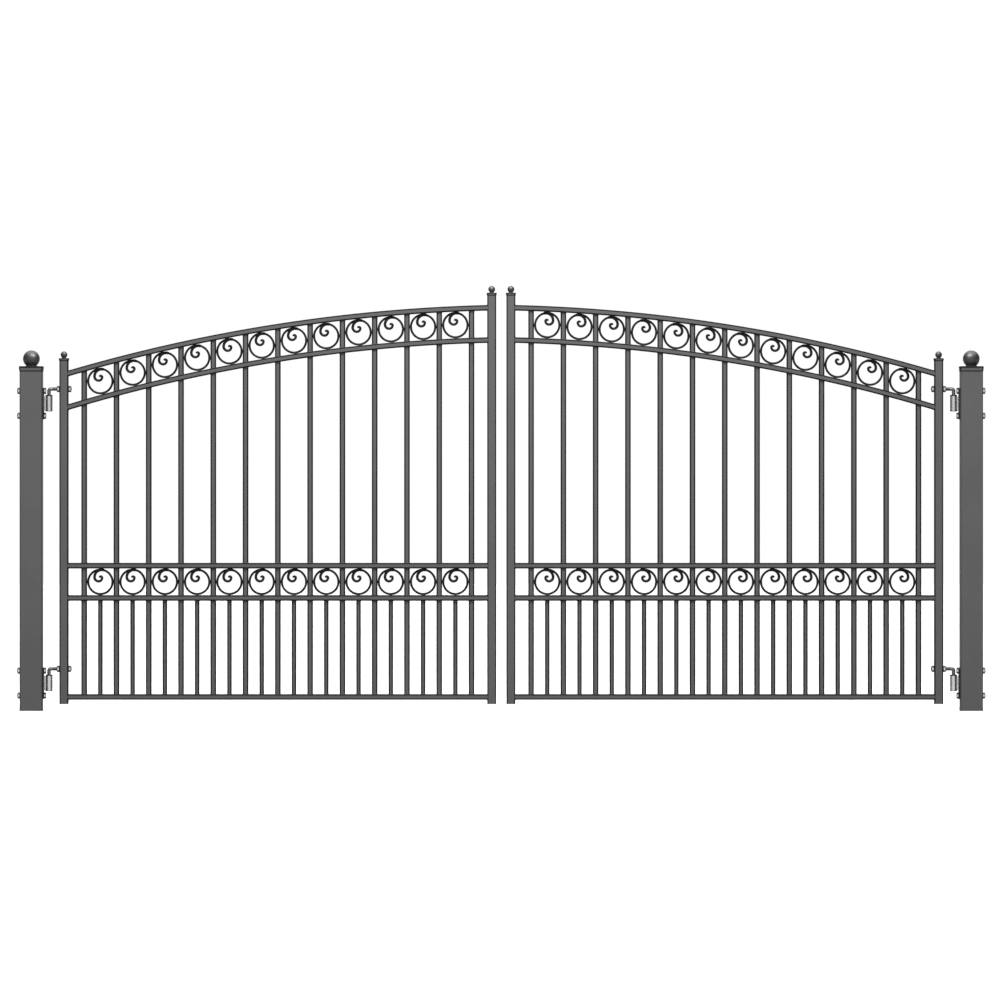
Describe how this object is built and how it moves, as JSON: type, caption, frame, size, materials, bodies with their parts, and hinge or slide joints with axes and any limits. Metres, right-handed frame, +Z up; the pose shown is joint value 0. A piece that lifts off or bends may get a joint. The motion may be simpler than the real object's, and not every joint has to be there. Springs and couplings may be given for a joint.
{
  "type": "double swing driveway gate",
  "caption": "Arched double driveway gate of square steel tube with bands of scroll rings, on ball-topped posts; each leaf swings on barrel hinges bolted through its post.",
  "frame": {"origin": "middle of the left post's foot, on the ground", "axes": "+X to the right post, +Y to the back of the gate, +Z up"},
  "size_m": [4.292, 0.106, 1.8828],
  "materials": {
    "frame_coat": "satin grey-black powder coat",
    "ring_coat": "satin black coat on forged bar",
    "ball_coat": "semi-gloss black coat",
    "plate_coat": "satin black coat on plate",
    "hinge_zinc": "bright zinc plate",
    "hinge_steel": "dull zinc plate"
  },
  "bodies": {
    "posts": {"left_post": "frame_coat", "left_post_cap": "frame_coat", "left_post_ball": "ball_coat", "left_hinge_plates": "plate_coat", "left_hinge_barrels": "hinge_zinc", "left_post_bolts": "hinge_zinc", "left_post_nuts": "hinge_zinc", "right_post": "frame_coat", "right_post_cap": "frame_coat", "right_post_ball": "ball_coat", "right_hinge_plates": "plate_coat", "right_hinge_barrels": "hinge_zinc", "right_post_bolts": "hinge_zinc", "right_post_nuts": "hinge_zinc"},
    "left_leaf": {"left_hinge_stile": "frame_coat", "left_lock_stile": "frame_coat", "left_stile_caps": "frame_coat", "left_stile_balls": "ball_coat", "left_top_rail": "frame_coat", "left_arched_rail": "frame_coat", "left_mid_rail_upper": "frame_coat", "left_mid_rail_lower": "frame_coat", "left_bottom_rail": "frame_coat", "left_pickets": "frame_coat", "left_short_pickets": "frame_coat", "left_arch_rings": "ring_coat", "left_band_rings": "ring_coat", "left_hinge_bolts": "hinge_steel", "left_hinge_nuts": "hinge_zinc"},
    "right_leaf": {"right_hinge_stile": "frame_coat", "right_lock_stile": "frame_coat", "right_stile_caps": "frame_coat", "right_stile_balls": "ball_coat", "right_top_rail": "frame_coat", "right_arched_rail": "frame_coat", "right_mid_rail_upper": "frame_coat", "right_mid_rail_lower": "frame_coat", "right_bottom_rail": "frame_coat", "right_pickets": "frame_coat", "right_short_pickets": "frame_coat", "right_arch_rings": "ring_coat", "right_band_rings": "ring_coat", "right_hinge_bolts": "hinge_steel", "right_hinge_nuts": "hinge_zinc"}
  },
  "joints": [
    {"name": "left_leaf_swing", "type": "hinge", "parent": "posts", "child": "left_leaf", "pos_m": [0.078, 0, 0], "axis": [0, 0, 1], "range_deg": [-90, 90]},
    {"name": "right_leaf_swing", "type": "hinge", "parent": "posts", "child": "right_leaf", "pos_m": [4.086, 0, 0], "axis": [0, 0, -1], "range_deg": [-90, 90]}
  ]
}
